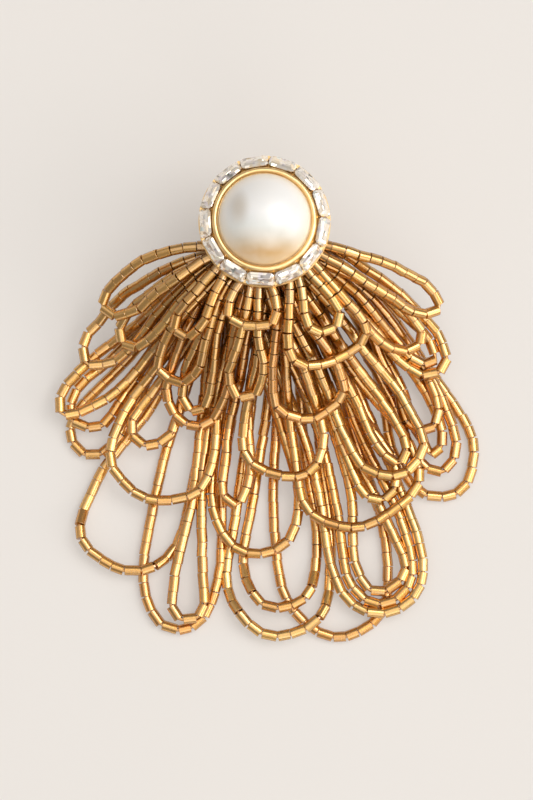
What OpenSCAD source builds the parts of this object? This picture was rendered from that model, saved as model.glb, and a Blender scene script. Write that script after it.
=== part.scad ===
// A pearl button earring with a fan of looped bead strings.
// It lies on its back: the ear post points down, the pearl points up (+Z)
// and the loops spread towards -Y. The origin is the free end of the post.

/* [Button] */
// Diameter of the half pearl
pearl_d = 14; // [12:0.5:14]
// Height of the half pearl, from its flat back to its top
pearl_h = 5; // [3.5:0.1:6]
// Depth of its flat back below the top of the bezel
pearl_seat = 0.8; // [0.6:0.1:1.2]
// Outer diameter of the stone setting
setting_d = 20; // [19.5:0.1:21]
// Height of the setting, from its underside to the top of the bezel
setting_h = 4; // [3.5:0.1:5]
// Outer diameter of the bezel ring round the pearl
bezel_d = 15.8; // [15.4:0.1:16.4]
// Height of the outer rim
rim_h = 1; // [0.8:0.1:1.3]
// Number of cut stones in the ring
stone_count = 13; // [11:1:13]
// Width of one cut stone along the ring
stone_w = 3.9; // [3.4:0.1:3.9]
// Direction of the first stone, counted from +X towards +Y
stone_turn = 16.8; // [0:0.1:27]

/* [Back] */
// Diameter of the ear post
post_d = 0.8; // [0.7:0.05:1]
// Length of the ear post below its plate
post_l = 9.5; // [8:0.5:11]
// Diameter of the plate that the post is soldered to
plate_d = 17; // [12:0.5:18]
// Thickness of that plate
plate_t = 0.6; // [0.4:0.1:1]
// Diameter of the backing drum that the strings end on
drum_d = 18; // [17.6:0.1:18.2]

/* [Bead strings] */
// Outer diameter of a bead string
string_d = 1.36; // [1.2:0.02:1.4]
// Distance between the centres of two strings that lie on each other
layer_gap = 1.45; // [1.42:0.01:1.5]
// Distance between the centres of two strings side by side on the drum
leg_gap = 1.42; // [1.4:0.01:1.42]
// Distance from the axis at which the lowest strings reach the ground
rest_r = 32; // [28:1:36]
// Number of layers of strings
layers = 6; // [6:1:7]
// Clearance between pieces that sit on each other
clearance = 0.05; // [0.03:0.01:0.1]
// Distance between two rings of a string's mesh
ring_gap = 5.2; // [4:0.1:6]

/* [Hidden] */
// Columns of LOOPS. Angles are in degrees from -Y, growing towards +X.
ROOT = 0;    // angle of the loop's middle where it leaves the drum
MOUTH = 1;   // distance between its two ends there, in string pitches
TIP_X = 2;   // place of the loop's tip
TIP_Y = 3;
WIDTH = 4;   // greatest width between the centres of its two legs
BELLY = 5;   // where it is widest, as a share of the way to the tip
BOW = 6;     // how far its middle line bends sideways, towards growing angles
ROW = 7;     // layer in which it leaves the drum, 0 is the lowest
LAY = 8;     // layer in which its tip lies

LOOPS = [
    // root, mouth, tip_x, tip_y, width, belly, bow, row, lay
    // lowest layer, the long loops at the bottom
    [-64.4, 1, -28.8, -33.4, 7.4, 0.85, 0, 0, 0],
    [-41.5, 2.1, -24.0, -51.2, 15.4, 0.83, 1.0, 0, 1],
    [-27.5, 3, -13.6, -61.0, 11.6, 0.82, -1.8, 0, 0],
    [23, 4, 2.1, -62.0, 15.8, 0.82, 0, 0, 1],
    [23.4, 2, 2.3, -57.8, 11.2, 0.84, -0.1, 0, 1],
    [37.2, 3, 12.8, -62.0, 16.8, 0.79, -1.0, 0, 0],
    [64, 1, 28.5, -40.2, 12.0, 0.82, 3.0, 0, 0],
    // second layer
    [-63.4, 1, -29.2, -29.2, 6.6, 0.85, 0, 1, 1],
    [-46, 1, -12.2, -59.6, 5.2, 0.93, -0.3, 1, 1],
    [-27.4, 1, -0.6, -49.3, 13.4, 0.80, 0, 1, 1],
    [9, 5, 19.2, -58.4, 13.8, 0.84, 2.1, 1, 1],
    [9, 3, 19.0, -56.8, 10.6, 0.87, 2.1, 1, 1],
    [9, 1, 18.8, -55.2, 7.2, 0.91, 2.1, 1, 1],
    [55.4, 3, 27.6, -36.6, 7.4, 0.80, 3.2, 1, 1],
    [55.4, 1, 26.8, -33.8, 3.8, 0.86, 2.9, 1, 1],
    // third layer
    [-62, 1, -31.6, -27.2, 6.0, 0.78, 1.1, 2, 2],
    [-28, 3, -17.6, -40.8, 15.8, 0.82, -1.6, 2, 2],
    [-28, 1, -19.0, -32.4, 6.2, 0.87, -0.4, 2, 2],
    [0, 1, -4.7, -42.0, 4.0, 0.86, -1.0, 2, 2],
    [27, 3, 18.2, -43.8, 18.6, 0.82, -1.5, 2, 2],
    [27, 1, 19.2, -40.8, 6.4, 0.85, -0.8, 2, 2],
    [56, 1, 25.4, -30.6, 5.6, 0.80, 3.0, 2, 2],
    // fourth layer
    [-58.8, 1, -27.2, -20.0, 6.5, 0.76, -1.5, 3, 3],
    [-31.7, 3, -11.4, -29.6, 8.8, 0.78, -1.0, 3, 3],
    [-31.7, 1, -11.0, -27.6, 4.5, 0.84, -1.0, 3, 3],
    [-4.5, 1, 3.2, -37.6, 12.5, 0.80, 1.0, 3, 3],
    [22.6, 3, 21.6, -37.0, 10.8, 0.81, 0.8, 3, 3],
    [22.6, 1, 21.2, -35.2, 4.5, 0.86, 0.8, 3, 3],
    [59.5, 3, 27.2, -21.2, 7.0, 0.79, 1.1, 3, 3],
    [59.5, 1, 26.0, -20.0, 4.0, 0.82, 1.0, 3, 3],
    // fifth layer
    [-54, 1, -21.8, -17.4, 5.2, 0.78, -0.6, 4, 4],
    [-35, 1, -14.2, -23.2, 6.5, 0.80, -1.0, 4, 4],
    [-9, 1, -3.2, -25.6, 5.2, 0.84, 0, 4, 4],
    [14, 1, 7.9, -28.4, 11.0, 0.80, 0, 4, 4],
    [50, 1, 23.7, -17.6, 6.0, 0.76, 0.3, 4, 4],
    // top layer, the short loops next to the button
    [-63, 1, -24.4, -12.6, 5.5, 0.72, -1.0, 5, 5],
    [-43, 1, -12.8, -16.6, 4.0, 0.80, 0, 5, 5],
    [-8, 3, -2.1, -15.6, 7.2, 0.74, 0, 5, 5],
    [38, 3, 10.7, -20.4, 12.0, 0.78, 0, 5, 5],
    [38, 1, 9.7, -16.2, 5.2, 0.77, 0.2, 5, 5],
    [65, 1, 26.8, -12.0, 4.6, 0.76, 0.3, 5, 5]
];

// Heights of the stack, from the ground up
plate_z = post_l;
drum_z = plate_z + plate_t + clearance;
string_r = string_d / 2;
drum_h = (layers - 1) * layer_gap + string_d + 2 * clearance;
setting_z = drum_z + drum_h + clearance;
root_z = drum_z + clearance + string_r;
bezel_top = setting_z + setting_h;

// Section of the setting, heights from its underside. The slope that the
// stones lie on runs from the rim's ledge up to the bezel.
RIM_T = 0.35;       // width of the rim's ledge
BEZEL_LEFT = 0.8;   // height of the bezel above the top of the slope
RIB_R = 0.2;
PRONG_R = 0.28;
PRONG_H = 0.9;      // height of a prong above the rim
PRONG_INSET = 0.05; // distance of a prong from the setting's outer edge
setting_r = setting_d / 2;
bezel_r = bezel_d / 2;
pocket_r = pearl_d / 2 + 2 * clearance;
lip_r = (bezel_r - pocket_r) / 2;
slope_foot_r = setting_r - RIM_T;
slope_head_z = setting_h - BEZEL_LEFT;
slope_lean = atan2(slope_foot_r - bezel_r, slope_head_z - rim_h);
slope_l = norm([slope_foot_r - bezel_r, slope_head_z - rim_h]);
prong_at_r = setting_r - PRONG_R - PRONG_INSET;

// Cut stones: the levels of one stone, from its back to its table
stone_pitch = 360 / stone_count;
STONE_H = 3.1;       // size of a stone up the slope
STONE_CORNER = 0.6;  // size of its cut corners
SHARE = 0;   // size of the level's outline
UP = 1;      // height of the level above the back
STONE_LEVELS = [
    // share, up
    [0.82, 0],
    [1, 0.35],
    [0.6, 0.95]
];

// Plan of the strings
string_start_r = drum_d / 2 + clearance;
leg_pitch = 2 * asin(leg_gap / (2 * string_start_r));
LAY_START = 0.86;  // where a loop starts to move from its row to its lay, as a share
LAY_END = 0.95;    // where it is there

// Mesh of the strings
SIDES = 8;
FINE_STEPS = 72;   // steps in which the length of a loop is measured
FEWEST_RINGS = 8;
TIP_PART = 0.3;    // the tip's part of a loop, where the rings are closer
TIP_RINGS = 2;     // how many times closer
FALL_RINGS = 1.6;  // how many times closer where the strings come down

// Colours of the pieces
GOLD = "goldenrod";
PEARL = "ivory";
CRYSTAL = "gainsboro";

STONE_NAMES = [for (i = [1 : stone_count]) str("stone_", i < 10 ? "0" : "", i)];
LOOP_NAMES = [for (i = [1 : len(LOOPS)]) str("loop_", i < 10 ? "0" : "", i)];

// Shared maths
function unit(v) = v / norm(v);
function ease(t) = let (c = min(max(t, 0), 1)) c * c * (3 - 2 * c);
function away(angle) = [sin(angle), -cos(angle)];
function turned(v) = [-v.y, v.x];

// Height of the lowest string's centre at a distance r from the axis
function fall(r) = min(max((r - string_start_r) / (rest_r - string_start_r), 0), 1);
function bed(r) = string_r + (root_z - string_r) * (1 + cos(180 * fall(r))) / 2;
function bed_slope(r) =
    (root_z - string_r) * PI / 2 * sin(180 * fall(r)) / (rest_r - string_start_r);
function layer_rise(r) = layer_gap * sqrt(1 + pow(bed_slope(r), 2));

// One loop in plan: s runs from 0 at the drum to 1 at the tip
function belly_power(loop) = loop[BELLY] / (2 * (1 - loop[BELLY]));
function belly_curve(s, p) = pow(s, p) * sqrt(max(1 - s, 0));
function half_width(loop, s) =
    loop[WIDTH] / 2 * belly_curve(s, belly_power(loop)) / belly_curve(loop[BELLY], belly_power(loop));
function root_point(loop) = string_start_r * away(loop[ROOT]);
function chord(loop) = [loop[TIP_X], loop[TIP_Y]] - root_point(loop);
function middle(loop, s) =
    root_point(loop) + s * chord(loop) + loop[BOW] * sin(180 * s) * turned(unit(chord(loop)));
function middle_side(loop, s) =
    turned(unit(chord(loop) + loop[BOW] * PI * cos(180 * s) * turned(unit(chord(loop)))));
function mouth_shift(loop, side) =
    string_start_r * away(loop[ROOT] + side * loop[MOUTH] * leg_pitch / 2) - root_point(loop);
function fan(loop, s) = pow(1 - s, 3) * (1 + s * (3 + norm(chord(loop)) / string_start_r));
function leg(loop, s, side) =
    middle(loop, s) + fan(loop, s) * mouth_shift(loop, side)
    + side * half_width(loop, s) * middle_side(loop, s);
function layer_at(loop, s) =
    loop[ROW] + (loop[LAY] - loop[ROW]) * ease((s - LAY_START) / (LAY_END - LAY_START));

// The whole loop: u runs from 0 at one end, over 1 at the tip, to 2 at the other end
function along(loop, u) =
    let (
        s = sin(90 * min(u, 2 - u)),
        p = leg(loop, s, u < 1 ? -1 : 1),
        r = norm(p)
    )
    [p.x, p.y, bed(r) + layer_at(loop, s) * layer_rise(r)];
function sum_to(v, i) = i == 0 ? [v[0]] : let (head = sum_to(v, i - 1)) concat(head, head[i - 1] + v[i]);
function paces(loop) =
    [for (i = [0 : FINE_STEPS])
        i == 0 ? 0 :
        let (
            u = 2 * i / FINE_STEPS,
            r = norm([along(loop, u).x, along(loop, u).y]),
            weight = abs(u - 1) < TIP_PART ? TIP_RINGS : r < rest_r ? FALL_RINGS : 1
        )
        weight * norm(along(loop, u) - along(loop, 2 * (i - 1) / FINE_STEPS))];
function ring_places(loop) =
    let (
        walked = sum_to(paces(loop), FINE_STEPS),
        table = [for (i = [0 : FINE_STEPS]) [walked[i], 2 * i / FINE_STEPS]],
        count = max(FEWEST_RINGS, round(walked[FINE_STEPS] / ring_gap))
    )
    [for (i = [0 : count]) lookup(walked[FINE_STEPS] * i / count, table)];
function centres(loop) = [for (u = ring_places(loop)) along(loop, u)];

// Direction of the string at each ring: its two ends face the drum squarely
function ring_heading(points, i) =
    let (last = len(points) - 1)
    i == 0 ? [points[0].x, points[0].y, 0] :
    i == last ? [-points[last].x, -points[last].y, 0] :
    unit(points[i + 1] - points[i]) + unit(points[i] - points[i - 1]);
function ring(point, heading) =
    let (
        h = unit(heading),
        across = unit([-h.y, h.x, 0]),
        up = cross(h, across)
    )
    [for (k = [0 : SIDES - 1])
        let (a = 360 * (k + 0.5) / SIDES)
        point + string_r * (cos(a) * across + sin(a) * up)];
function tube_faces(rings) =
    concat(
        [[for (k = [0 : SIDES - 1]) k]],
        [for (i = [0 : rings - 2], k = [0 : SIDES - 1])
            let (a = i * SIDES + k, b = i * SIDES + (k + 1) % SIDES)
            each [[a, a + SIDES, b], [b, a + SIDES, b + SIDES]]],
        [[for (k = [SIDES - 1 : -1 : 0]) (rings - 1) * SIDES + k]]
    );

// One looped string of beads, as a tube of the beads' diameter
module bead_loop(loop) {
    points = centres(loop);
    rings = [for (i = [0 : len(points) - 1]) each ring(points[i], ring_heading(points, i))];
    color(GOLD)
        polyhedron(points = rings, faces = tube_faces(len(points)), convexity = 8);
}

// The half pearl: a low dome with a flat back, held by the bezel
module pearl() {
    ball_r = (pow(pearl_d / 2, 2) + pow(pearl_h, 2)) / (2 * pearl_h);
    color(PEARL)
        translate([0, 0, bezel_top - pearl_seat + clearance])
            intersection() {
                translate([0, 0, pearl_h - ball_r]) sphere(r = ball_r, $fn = 96);
                cylinder(h = ball_r, r = ball_r, $fn = 96);
            }
}

// The metal of the button, soldered into one piece: a base with its rim, a
// slope that the stones lie on, and the bezel with its rounded lip. A rib and
// a prong stand between each two stones.
module setting_profile() {
    polygon([
        [0, 0],
        [setting_r, 0],
        [setting_r, rim_h],
        [slope_foot_r, rim_h],
        [bezel_r, slope_head_z],
        [bezel_r, setting_h - lip_r],
        [pocket_r, setting_h - lip_r],
        [pocket_r, setting_h - pearl_seat],
        [0, setting_h - pearl_seat]
    ]);
    translate([pocket_r + lip_r, setting_h - lip_r]) circle(r = lip_r, $fn = 32);
}
module setting() {
    color(GOLD)
        translate([0, 0, setting_z]) {
            rotate_extrude($fn = 96) setting_profile();
            for (i = [1 : stone_count])
                rotate([0, 0, stone_turn + stone_pitch * (i - 0.5)]) {
                    translate([slope_foot_r, 0, rim_h])
                        rotate([0, -slope_lean, 0])
                            cylinder(h = slope_l, r = RIB_R, $fn = 24);
                    translate([prong_at_r, 0, rim_h / 2])
                        cylinder(h = rim_h / 2 + PRONG_H, r = PRONG_R, $fn = 24);
                }
        }
}

// One cut stone: an octagon with a flat back, a girdle, eight crown facets and
// a table. Its own frame has the back in XY, X along the ring.
function stone_outline(share) =
    let (w = share * stone_w / 2, h = share * STONE_H / 2, c = share * STONE_CORNER)
    [[w, c - h], [w, h - c], [w - c, h], [c - w, h], [-w, h - c], [-w, c - h], [c - w, -h], [w - c, -h]];
function stone_level(level) = [for (p = stone_outline(level[SHARE])) [p.x, p.y, level[UP]]];
module stone(i) {
    corners = [for (level = STONE_LEVELS) each stone_level(level)];
    color(CRYSTAL)
        rotate([0, 0, stone_turn + stone_pitch * (i - 1)])
            translate([(slope_foot_r + bezel_r) / 2, 0, setting_z + (rim_h + slope_head_z) / 2])
                rotate([0, 90 - slope_lean, 0])
                    rotate([0, 0, 90])
                        translate([0, 0, clearance])
                            polyhedron(points = corners, faces = tube_faces(len(STONE_LEVELS)));
}

// The drum behind the setting, which the ends of the strings meet
module drum() {
    color(GOLD)
        translate([0, 0, drum_z])
            cylinder(h = drum_h, d = drum_d, $fn = 96);
}

// The ear post, soldered to the plate that closes the drum
module ear_post() {
    color(GOLD) {
        cylinder(h = post_l + plate_t / 2, d = post_d, $fn = 48);
        translate([0, 0, plate_z])
            cylinder(h = plate_t, d = plate_d, $fn = 96);
    }
}

pearl();
setting();
drum();
ear_post();
for (i = [1 : stone_count])
    stone(i);
for (i = [0 : len(LOOPS) - 1])
    bead_loop(LOOPS[i]);
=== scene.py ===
"""Looks of the pearl button earring with its fan of looped bead strings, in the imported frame."""

import logging
import math
import random
from dataclasses import dataclass
from enum import Enum
from functools import cache
from typing import Any, Callable

import bmesh
import bpy
import numpy as np
from mathutils import Matrix, Vector

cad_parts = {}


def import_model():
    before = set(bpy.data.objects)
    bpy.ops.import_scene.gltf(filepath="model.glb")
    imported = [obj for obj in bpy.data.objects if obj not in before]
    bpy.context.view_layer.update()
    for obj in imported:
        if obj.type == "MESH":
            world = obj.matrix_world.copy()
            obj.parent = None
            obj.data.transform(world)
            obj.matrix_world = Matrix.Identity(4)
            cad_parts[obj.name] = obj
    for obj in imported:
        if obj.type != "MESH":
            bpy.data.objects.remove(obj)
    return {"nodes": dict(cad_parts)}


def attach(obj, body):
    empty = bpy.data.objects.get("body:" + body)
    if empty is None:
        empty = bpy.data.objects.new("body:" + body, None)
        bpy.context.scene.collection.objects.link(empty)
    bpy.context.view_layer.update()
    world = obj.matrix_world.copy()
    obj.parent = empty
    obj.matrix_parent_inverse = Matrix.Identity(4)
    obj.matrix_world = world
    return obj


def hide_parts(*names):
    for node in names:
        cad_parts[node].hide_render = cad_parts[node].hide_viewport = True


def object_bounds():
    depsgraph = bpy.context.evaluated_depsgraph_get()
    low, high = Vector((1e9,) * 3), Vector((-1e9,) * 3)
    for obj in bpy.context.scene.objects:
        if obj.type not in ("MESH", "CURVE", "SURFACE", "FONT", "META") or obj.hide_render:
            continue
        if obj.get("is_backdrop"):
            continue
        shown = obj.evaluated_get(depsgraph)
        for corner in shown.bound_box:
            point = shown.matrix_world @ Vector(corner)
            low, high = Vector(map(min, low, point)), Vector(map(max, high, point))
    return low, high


MM = 0.001
# A height below HAIR counts as none, and a cosine above STRAIGHT as straight
HAIR = 0.01 * MM
STRAIGHT = 0.9
# Added to a number that is divided by, so that it is never zero
TINY = 1e-9
SEED = 41
LOG = logging.getLogger("earring")

Array = np.ndarray
Piece = bpy.types.Object
Material = bpy.types.Material
Colour = tuple[float, float, float]
Place = tuple[float, float, float]
Range = tuple[float, float]
Stops = tuple[tuple[float, Colour], ...]
Faces = list[tuple[int, ...]]
Ends = list[tuple[Array, Array]]


class Sock:
    """A shader socket that adds Math nodes where it is used in an expression."""

    def __init__(self, graph: "Graph", socket: bpy.types.NodeSocket) -> None:
        """Wraps an output socket of a graph."""
        self.graph = graph
        self.socket = socket

    def _math(self, operation: str, *values: Any) -> "Sock":
        """Result of a Math node, fed with sockets or numbers."""
        return self.graph.node("ShaderNodeMath", {"operation": operation}, dict(enumerate(values)))

    def __add__(self, other: Any) -> "Sock":
        """Sum."""
        return self._math("ADD", self, other)

    __radd__ = __add__

    def __sub__(self, other: Any) -> "Sock":
        """Difference."""
        return self._math("SUBTRACT", self, other)

    def __rsub__(self, other: Any) -> "Sock":
        """Difference, with the socket on the right."""
        return self._math("SUBTRACT", other, self)

    def __mul__(self, other: Any) -> "Sock":
        """Product."""
        return self._math("MULTIPLY", self, other)

    __rmul__ = __mul__

    def __truediv__(self, other: Any) -> "Sock":
        """Quotient."""
        return self._math("DIVIDE", self, other)

    def __abs__(self) -> "Sock":
        """Size without its sign."""
        return self._math("ABSOLUTE", self)

    def distance(self, other: "Sock") -> "Sock":
        """Distance from the origin of the point with this and another coordinate."""
        return self._math("POWER", self * self + other * other, 0.5)

    def larger(self, other: "Sock") -> "Sock":
        """The larger one of two values."""
        return self._math("MAXIMUM", self, other)

    def turn(self, other: "Sock") -> "Sock":
        """Angle in turns of the point whose Y this is and whose X is the other value."""
        return self._math("ARCTAN2", self, other) / (2 * math.pi)

    def floor(self) -> "Sock":
        """The whole number below the value."""
        return self._math("FLOOR", self)

    def ramp(self, low: float, high: float) -> "Sock":
        """The value brought to 0 at low and to 1 at high, smooth between and clamped."""
        inputs = {"Value": self, "From Min": low, "From Max": high}
        return self.graph.node("ShaderNodeMapRange", {"interpolation_type": "SMOOTHSTEP"}, inputs)


class Graph:
    """One procedural material and its nodes."""

    def __init__(self, name: str) -> None:
        """Makes the material with a Principled shader and nothing else.

        Args:
            name: The material's name.
        """
        self.material = bpy.data.materials.new(name)
        self.material.use_nodes = True
        self.tree = self.material.node_tree
        self.tree.nodes.clear()
        self.shader = self.tree.nodes.new("ShaderNodeBsdfPrincipled")
        output = self.tree.nodes.new("ShaderNodeOutputMaterial")
        self.tree.links.new(self.shader.outputs[0], output.inputs["Surface"])

    def node(
        self, kind: str, settings: dict[str, Any], inputs: dict[Any, Any], out: int | str = 0
    ) -> Sock:
        """Adds any node.

        Args:
            kind: The node's type.
            settings: Its properties, set first. A ramp's colour stops are under the name stops.
            inputs: Values or links of its sockets, by name or number.
            out: The output that is wanted.

        Returns:
            That output.
        """
        made = self.tree.nodes.new(kind)
        for key, value in settings.items():
            if key == "stops":
                self._set_stops(made.color_ramp, value)
            else:
                setattr(made, key, value)
        for key, value in inputs.items():
            self._feed(made.inputs[key], value)
        return Sock(self, made.outputs[out])

    @staticmethod
    def _set_stops(ramp: bpy.types.ColorRamp, stops: Stops) -> None:
        """Writes a colour ramp's stops."""
        while len(ramp.elements) < len(stops):
            ramp.elements.new(1.0)
        for element, (place, colour) in zip(ramp.elements, stops):
            element.position = place
            element.color = (*colour, 1.0)

    def _feed(self, socket: bpy.types.NodeSocket, value: Any) -> None:
        """Links a socket or sets its value."""
        if isinstance(value, Sock):
            self.tree.links.new(value.socket, socket)
        elif isinstance(value, tuple) and len(value) == 3 and socket.type == "RGBA":
            socket.default_value = (*value, 1.0)
        else:
            socket.default_value = value

    def finish(self, **values: Any) -> Material:
        """Feeds the Principled shader and closes the graph.

        Args:
            values: Values or links by the names of the shader's sockets, underscores for spaces.

        Returns:
            The material.
        """
        for key, value in values.items():
            self._feed(self.shader.inputs[key.replace("_", " ")], value)
        return self.material

    def place(self) -> Sock:
        """Object coordinates."""
        return self.node("ShaderNodeTexCoord", {}, {}, "Object")

    def split(self, vector: Sock, axis: str) -> Sock:
        """One coordinate of a vector."""
        return self.node("ShaderNodeSeparateXYZ", {}, {0: vector}, axis)

    def channel(self, colour: Sock, name: str) -> Sock:
        """One channel of a colour."""
        return self.node("ShaderNodeSeparateColor", {}, {0: colour}, name)

    def attribute(self, name: str) -> Sock:
        """A colour attribute of the mesh."""
        return self.node("ShaderNodeAttribute", {"attribute_name": name}, {}, "Color")

    def position(self, axes: str) -> list[Sock]:
        """Object coordinates in millimetres, along the axes named."""
        place = self.place()
        return [self.split(place, axis) / MM for axis in axes]

    def vector(self, operation: str, inputs: dict[Any, Any]) -> Sock:
        """Result of a Vector Math node."""
        return self.node("ShaderNodeVectorMath", {"operation": operation}, inputs)

    def noise(self, size: float, detail: float = 3.0, stretch: Place | None = None) -> Sock:
        """Noise of a real size.

        Args:
            size: Size of its patches, in millimetres.
            detail: How many finer levels it has.
            stretch: Scale of the coordinates along X, Y and Z.

        Returns:
            The noise, from 0 to 1.
        """
        at = self.place()
        if stretch:
            at = self.node("ShaderNodeMapping", {}, {"Vector": at, "Scale": stretch})
        inputs = {"Vector": at, "Scale": 1 / (size * MM), "Detail": detail}
        return self.node("ShaderNodeTexNoise", {}, inputs, "Fac")

    def mix(self, share: Any, first: Any, second: Any) -> Sock:
        """Mixes two colours, values or links, by the share of the second one."""
        return self.node("ShaderNodeMix", {"data_type": "RGBA"}, {0: share, 6: first, 7: second}, 2)

    def bump(self, height: Sock, depth: float) -> Sock:
        """Normal of a height whose 1 stands for a depth in millimetres."""
        return self.node("ShaderNodeBump", {}, {"Distance": depth * MM, "Height": height})


@dataclass(frozen=True)
class PolishedGold:
    """Gold plate on the setting, its claws and the ear post, with painted shade darkening it round
    and under the stones.
    """

    colour: Colour = (0.99, 0.73, 0.36)
    worn: Colour = (0.96, 0.65, 0.28)
    worn_range: Range = (0.4, 0.75)
    # painted shade: the colour that the gold round and under the stones is darkened towards
    recess_shade: Colour = (0.42, 0.22, 0.06)
    recess_shade_weight: float = 0.4
    recess_r: Range = (7.9, 8.3)
    recess_z: Range = (18.9, 19.6)
    roughness: float = 0.26
    roughness_play: float = 0.14
    cloud_size: float = 1.6
    scratch_size: float = 0.12
    scratch_stretch: Place = (1.0, 1.0, 6.0)
    scratch_depth: float = 0.006

    def material(self) -> Material:
        """Makes the material, with painted shade darkening the recess that the stones and their
        claws are set in.
        """
        g = Graph("polished_gold")
        cloud = g.noise(self.cloud_size)
        scratch = g.noise(self.scratch_size, detail=2.0, stretch=self.scratch_stretch)
        x, y, z = g.position("XYZ")
        # painted shade: a mask of the recess round the stones' seats and claws, where shade falls
        recess = x.distance(y).ramp(*self.recess_r) * z.ramp(*self.recess_z)
        clean = g.mix(cloud.ramp(*self.worn_range), self.colour, self.worn)
        return g.finish(
            Base_Color=g.mix(recess * self.recess_shade_weight, clean, self.recess_shade),
            Metallic=1.0,
            Roughness=self.roughness + self.roughness_play * cloud,
            Normal=g.bump(scratch, self.scratch_depth),
        )


@dataclass(frozen=True)
class BeadGold:
    """Metallic coat of the cut tube beads, with a tint of its own on each bead.

    The attribute tint holds the tint, with painted shade in it, and the UV map bead the place round
    and along the bead.
    """

    shade: Colour = (0.66, 0.32, 0.05)
    shade_range: Range = (0.3, 0.8)
    shade_weight: float = 0.35
    seam: Colour = (0.40, 0.18, 0.03)
    seam_share: float = 0.03
    seam_weight: float = 0.4
    side: Colour = (0.22, 0.18, 0.15)
    roughness: float = 0.23
    cloud_roughness: float = 0.1
    seam_roughness: float = 0.15
    coat_roughness: float = 0.1
    coat_ior: float = 2.1
    cloud_size: float = 0.9
    grain_size: float = 0.2
    grain_depth: float = 0.012

    def material(self) -> Material:
        """Makes the material, darker at the bead's two ends and where it is seen from its side."""
        g = Graph("bead_gold")
        tint = g.attribute("tint")
        along = g.split(g.node("ShaderNodeUVMap", {"uv_map": "bead"}, {}), "Y")
        end = abs(along - 0.5).ramp(0.5 - 2 * self.seam_share, 0.5)
        cloud = g.noise(self.cloud_size)
        grain = g.noise(self.grain_size, detail=2.0)
        shaded = g.mix(cloud.ramp(*self.shade_range), tint, self.shade)
        body = g.mix(self.shade_weight, tint, shaded)
        return g.finish(
            Base_Color=g.mix(end * self.seam_weight, body, self.seam),
            Metallic=1.0,
            Specular_Tint=self.side,
            Roughness=self.roughness + self.cloud_roughness * cloud + self.seam_roughness * end,
            Coat_Weight=1.0,
            Coat_Roughness=self.coat_roughness,
            Coat_IOR=self.coat_ior,
            Normal=g.bump(grain + cloud, self.grain_depth),
        )


@dataclass(frozen=True)
class Thread:
    """Waxed thread inside the strings and on the backing."""

    colour: Colour = (0.50, 0.29, 0.09)
    light: Colour = (0.70, 0.45, 0.18)
    roughness: float = 0.6
    fibre_size: float = 0.1
    fibre_depth: float = 0.03

    def material(self) -> Material:
        """Makes the material."""
        g = Graph("waxed_thread")
        fibre = g.noise(self.fibre_size, detail=2.0)
        return g.finish(
            Base_Color=g.mix(fibre, self.colour, self.light),
            Roughness=self.roughness,
            Normal=g.bump(fibre, self.fibre_depth),
        )


@dataclass(frozen=True)
class PearlNacre:
    """Satiny white of the half pearl, with light and shade painted in: a painted reflection of the
    gold beads warms its foot, a painted dark reflection lies on it as a soft grey smudge, and a
    painted reflection of the gold setting warms its girdle.

    The rows give the colour by the height Y on the pearl, in millimetres from its middle: painted
    light makes it lighter towards the top, and painted shade and reflection make it darker and warm
    at its foot.
    """

    radius: float = 7.0
    # painted light, shade and reflection: the colour by height, lighter at the top and warm at the
    # foot
    rows: Stops = (
        (-6.6, (0.60, 0.34, 0.09)),
        (-5.4, (0.60, 0.34, 0.10)),
        (-4.2, (0.63, 0.48, 0.30)),
        (-3.0, (0.67, 0.62, 0.53)),
        (-1.6, (0.72, 0.73, 0.69)),
        (0.5, (0.80, 0.80, 0.79)),
        (5.5, (0.90, 0.875, 0.84)),
    )
    blush: Colour = (0.93, 0.87, 0.80)
    blush_range: Range = (0.35, 0.7)
    blush_weight: float = 0.25
    # painted dark reflection: a soft grey smudge on the left
    dark_reflection: Colour = (0.54, 0.46, 0.36)
    dark_reflection_at: Range = (-3.9, 1.3)
    dark_reflection_r: Range = (2.2, 0.2)
    dark_reflection_squeeze: float = 0.6
    dark_reflection_weight: float = 0.7
    # painted reflection of the gold setting, towards the girdle
    gold_reflection: Colour = (1.0, 0.81, 0.55)
    gold_reflection_r: Range = (5.0, 7.0)
    gold_reflection_weight: float = 0.4
    roughness: float = 0.34
    roughness_play: float = 0.08
    ior: float = 1.7
    coat: float = 0.8
    coat_roughness: float = 0.3
    cloud_size: float = 4.0
    fine_size: float = 0.35
    fine_depth: float = 0.004

    def material(self) -> Material:
        """Makes the material."""
        g = Graph("pearl_nacre")
        cloud = g.noise(self.cloud_size, detail=2.0)
        fine = g.noise(self.fine_size)
        x, y = g.position("XY")
        # painted light, shade and a painted reflection of the gold beads, by height
        stops = tuple((0.5 + 0.5 * row / self.radius, colour) for row, colour in self.rows)
        height = 0.5 + y * (0.5 / self.radius)
        body = g.node("ShaderNodeValToRGB", {"stops": stops}, {0: height})
        # painted dark reflection: a soft grey smudge left of the middle
        aside, above = x - self.dark_reflection_at[0], (y - self.dark_reflection_at[1]) * self.dark_reflection_squeeze
        dark_reflection = aside.distance(above).ramp(*self.dark_reflection_r)
        body = g.mix(cloud.ramp(*self.blush_range) * self.blush_weight, body, self.blush)
        body = g.mix(dark_reflection * self.dark_reflection_weight, body, self.dark_reflection)
        # painted reflection of the gold setting, warm towards the girdle
        edge = x.distance(y).ramp(*self.gold_reflection_r)
        return g.finish(
            Base_Color=g.mix(edge * self.gold_reflection_weight, body, self.gold_reflection),
            Roughness=self.roughness + self.roughness_play * fine,
            IOR=self.ior,
            Coat_Weight=self.coat,
            Coat_Roughness=self.coat_roughness,
            Normal=g.bump(fine, self.fine_depth),
        )


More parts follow.
